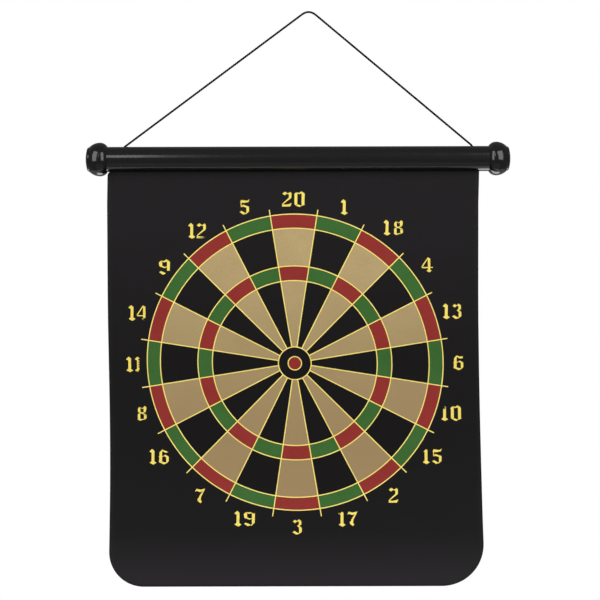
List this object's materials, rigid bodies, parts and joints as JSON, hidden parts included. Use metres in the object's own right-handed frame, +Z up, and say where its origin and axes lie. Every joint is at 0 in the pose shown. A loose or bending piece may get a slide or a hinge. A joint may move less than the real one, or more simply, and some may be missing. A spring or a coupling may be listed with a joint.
{
  "type": "magnetic dartboard",
  "caption": "Roll-up magnetic dartboard: a printed flexible magnetic sheet clamped in a slit tube with end caps, hung by a cord from one hook.",
  "frame": {"origin": "the hook point: the underside of the cord at the top of its loop, where it bears on a hook or nail", "axes": "+Z up, +X along the tube to the right of someone facing the printed side, printed side faces -Y"},
  "size_m": [0.4226, 0.0465, 0.5688],
  "materials": {
    "cord": "braided black nylon",
    "tube": "gloss black extruded plastic",
    "end_cap": "gloss black moulded plastic",
    "batten": "matte black plastic",
    "rivet": "plain aluminium",
    "sheet": "matte printed magnetic rubber, black with beige, red, green and gold"
  },
  "bodies": {
    "cord": {"cord": "cord"},
    "tube": {"tube": "tube", "end_cap_left": "end_cap", "end_cap_right": "end_cap", "cord_knot_left": "cord", "cord_knot_right": "cord"},
    "sheet_top": {"sheet_top_tab": "sheet", "batten_front": "batten", "batten_rear": "batten", "batten_rivets": "rivet"},
    "sheet_01": {"sheet_strip_01": "sheet"},
    "sheet_02": {"sheet_strip_02": "sheet"},
    "sheet_03": {"sheet_strip_03": "sheet"},
    "sheet_04": {"sheet_strip_04": "sheet"},
    "sheet_05": {"sheet_strip_05": "sheet"},
    "sheet_06": {"sheet_strip_06": "sheet"},
    "sheet_07": {"sheet_strip_07": "sheet"},
    "sheet_08": {"sheet_strip_08": "sheet"},
    "sheet_09": {"sheet_strip_09": "sheet"},
    "sheet_10": {"sheet_strip_10": "sheet"},
    "sheet_11": {"sheet_strip_11": "sheet"},
    "sheet_12": {"sheet_strip_12": "sheet"},
    "sheet_13": {"sheet_strip_13": "sheet"},
    "sheet_14": {"sheet_strip_14": "sheet"},
    "sheet_15": {"sheet_strip_15": "sheet"},
    "sheet_16": {"sheet_strip_16": "sheet"},
    "sheet_17": {"sheet_strip_17": "sheet"},
    "sheet_18": {"sheet_strip_18": "sheet"},
    "sheet_19": {"sheet_strip_19": "sheet"},
    "sheet_20": {"sheet_strip_20": "sheet"},
    "sheet_21": {"sheet_strip_21": "sheet"}
  },
  "joints": [
    {"name": "tube_tilt", "type": "hinge", "parent": "cord", "child": "tube", "pos_m": [-0.0106, 0, -0.1335], "axis": [1, 0, 0], "range_deg": [-35, 35]},
    {"name": "sheet_slide", "type": "slide", "parent": "tube", "child": "sheet_top", "axis": [1, 0, 0], "range_m": [0, 0.0094]},
    {"name": "sheet_swing", "type": "hinge", "parent": "sheet_top", "child": "sheet_01", "pos_m": [-0.0153, 0, -0.1592], "axis": [-1, 0, 0], "range_deg": [-20, 20]},
    {"name": "roll_up", "type": "hinge", "parent": "sheet_01", "child": "sheet_02", "pos_m": [-0.0153, 0.0006, -0.1892], "axis": [-1, 0, 0], "range_deg": [0, 36.43]},
    {"name": "roll_up_03", "type": "hinge", "parent": "sheet_02", "child": "sheet_03", "pos_m": [-0.0153, 0.00136, -0.20828], "axis": [-1, 0, 0], "range_deg": [0, 37.01]},
    {"name": "roll_up_04", "type": "hinge", "parent": "sheet_03", "child": "sheet_04", "pos_m": [-0.0153, 0.00212, -0.22737], "axis": [-1, 0, 0], "range_deg": [0, 37.6]},
    {"name": "roll_up_05", "type": "hinge", "parent": "sheet_04", "child": "sheet_05", "pos_m": [-0.0153, 0.00287, -0.24646], "axis": [-1, 0, 0], "range_deg": [0, 38.22]},
    {"name": "roll_up_06", "type": "hinge", "parent": "sheet_05", "child": "sheet_06", "pos_m": [-0.0153, 0.00364, -0.26554], "axis": [-1, 0, 0], "range_deg": [0, 38.88]},
    {"name": "roll_up_07", "type": "hinge", "parent": "sheet_06", "child": "sheet_07", "pos_m": [-0.0153, 0.0044, -0.28462], "axis": [-1, 0, 0], "range_deg": [0, 39.57]},
    {"name": "roll_up_08", "type": "hinge", "parent": "sheet_07", "child": "sheet_08", "pos_m": [-0.0153, 0.00516, -0.30371], "axis": [-1, 0, 0], "range_deg": [0, 40.29]},
    {"name": "roll_up_09", "type": "hinge", "parent": "sheet_08", "child": "sheet_09", "pos_m": [-0.0153, 0.00592, -0.32279], "axis": [-1, 0, 0], "range_deg": [0, 41.06]},
    {"name": "roll_up_10", "type": "hinge", "parent": "sheet_09", "child": "sheet_10", "pos_m": [-0.0153, 0.00668, -0.34188], "axis": [-1, 0, 0], "range_deg": [0, 41.84]},
    {"name": "roll_up_11", "type": "hinge", "parent": "sheet_10", "child": "sheet_11", "pos_m": [-0.0153, 0.00742, -0.36096], "axis": [-1, 0, 0], "range_deg": [0, 40.66]},
    {"name": "roll_up_12", "type": "hinge", "parent": "sheet_11", "child": "sheet_12", "pos_m": [-0.0153, 0.00748, -0.38006], "axis": [-1, 0, 0], "range_deg": [0, 41.58]},
    {"name": "roll_up_13", "type": "hinge", "parent": "sheet_12", "child": "sheet_13", "pos_m": [-0.0153, 0.00683, -0.39915], "axis": [-1, 0, 0], "range_deg": [0, 42.56]},
    {"name": "roll_up_14", "type": "hinge", "parent": "sheet_13", "child": "sheet_14", "pos_m": [-0.0153, 0.0055, -0.41821], "axis": [-1, 0, 0], "range_deg": [0, 43.62]},
    {"name": "roll_up_15", "type": "hinge", "parent": "sheet_14", "child": "sheet_15", "pos_m": [-0.0153, 0.00347, -0.4372], "axis": [-1, 0, 0], "range_deg": [0, 44.75]},
    {"name": "roll_up_16", "type": "hinge", "parent": "sheet_15", "child": "sheet_16", "pos_m": [-0.0153, 0.00076, -0.4561], "axis": [-1, 0, 0], "range_deg": [0, 45.97]},
    {"name": "roll_up_17", "type": "hinge", "parent": "sheet_16", "child": "sheet_17", "pos_m": [-0.0153, -0.00264, -0.4749], "axis": [-1, 0, 0], "range_deg": [0, 47.29]},
    {"name": "roll_up_18", "type": "hinge", "parent": "sheet_17", "child": "sheet_18", "pos_m": [-0.0153, -0.00673, -0.49356], "axis": [-1, 0, 0], "range_deg": [0, 48.73]},
    {"name": "roll_up_19", "type": "hinge", "parent": "sheet_18", "child": "sheet_19", "pos_m": [-0.0153, -0.01149, -0.51206], "axis": [-1, 0, 0], "range_deg": [0, 50.3]},
    {"name": "roll_up_20", "type": "hinge", "parent": "sheet_19", "child": "sheet_20", "pos_m": [-0.0153, -0.01691, -0.53037], "axis": [-1, 0, 0], "range_deg": [0, 52.03]},
    {"name": "roll_up_21", "type": "hinge", "parent": "sheet_20", "child": "sheet_21", "pos_m": [-0.0153, -0.023, -0.54847], "axis": [-1, 0, 0], "range_deg": [0, 53.94]}
  ],
  "couplings": [
    {"joint": "roll_up_03", "follows": "roll_up", "ratio": 1.0155},
    {"joint": "roll_up_04", "follows": "roll_up", "ratio": 1.0318},
    {"joint": "roll_up_05", "follows": "roll_up", "ratio": 1.0489},
    {"joint": "roll_up_06", "follows": "roll_up", "ratio": 1.0668},
    {"joint": "roll_up_07", "follows": "roll_up", "ratio": 1.0857},
    {"joint": "roll_up_08", "follows": "roll_up", "ratio": 1.1057},
    {"joint": "roll_up_09", "follows": "roll_up", "ratio": 1.1268},
    {"joint": "roll_up_10", "follows": "roll_up", "ratio": 1.1481},
    {"joint": "roll_up_11", "follows": "roll_up", "ratio": 1.1157},
    {"joint": "roll_up_12", "follows": "roll_up", "ratio": 1.141},
    {"joint": "roll_up_13", "follows": "roll_up", "ratio": 1.168},
    {"joint": "roll_up_14", "follows": "roll_up", "ratio": 1.1969},
    {"joint": "roll_up_15", "follows": "roll_up", "ratio": 1.228},
    {"joint": "roll_up_16", "follows": "roll_up", "ratio": 1.2615},
    {"joint": "roll_up_17", "follows": "roll_up", "ratio": 1.2978},
    {"joint": "roll_up_18", "follows": "roll_up", "ratio": 1.3372},
    {"joint": "roll_up_19", "follows": "roll_up", "ratio": 1.3804},
    {"joint": "roll_up_20", "follows": "roll_up", "ratio": 1.4278},
    {"joint": "roll_up_21", "follows": "roll_up", "ratio": 1.4803}
  ]
}
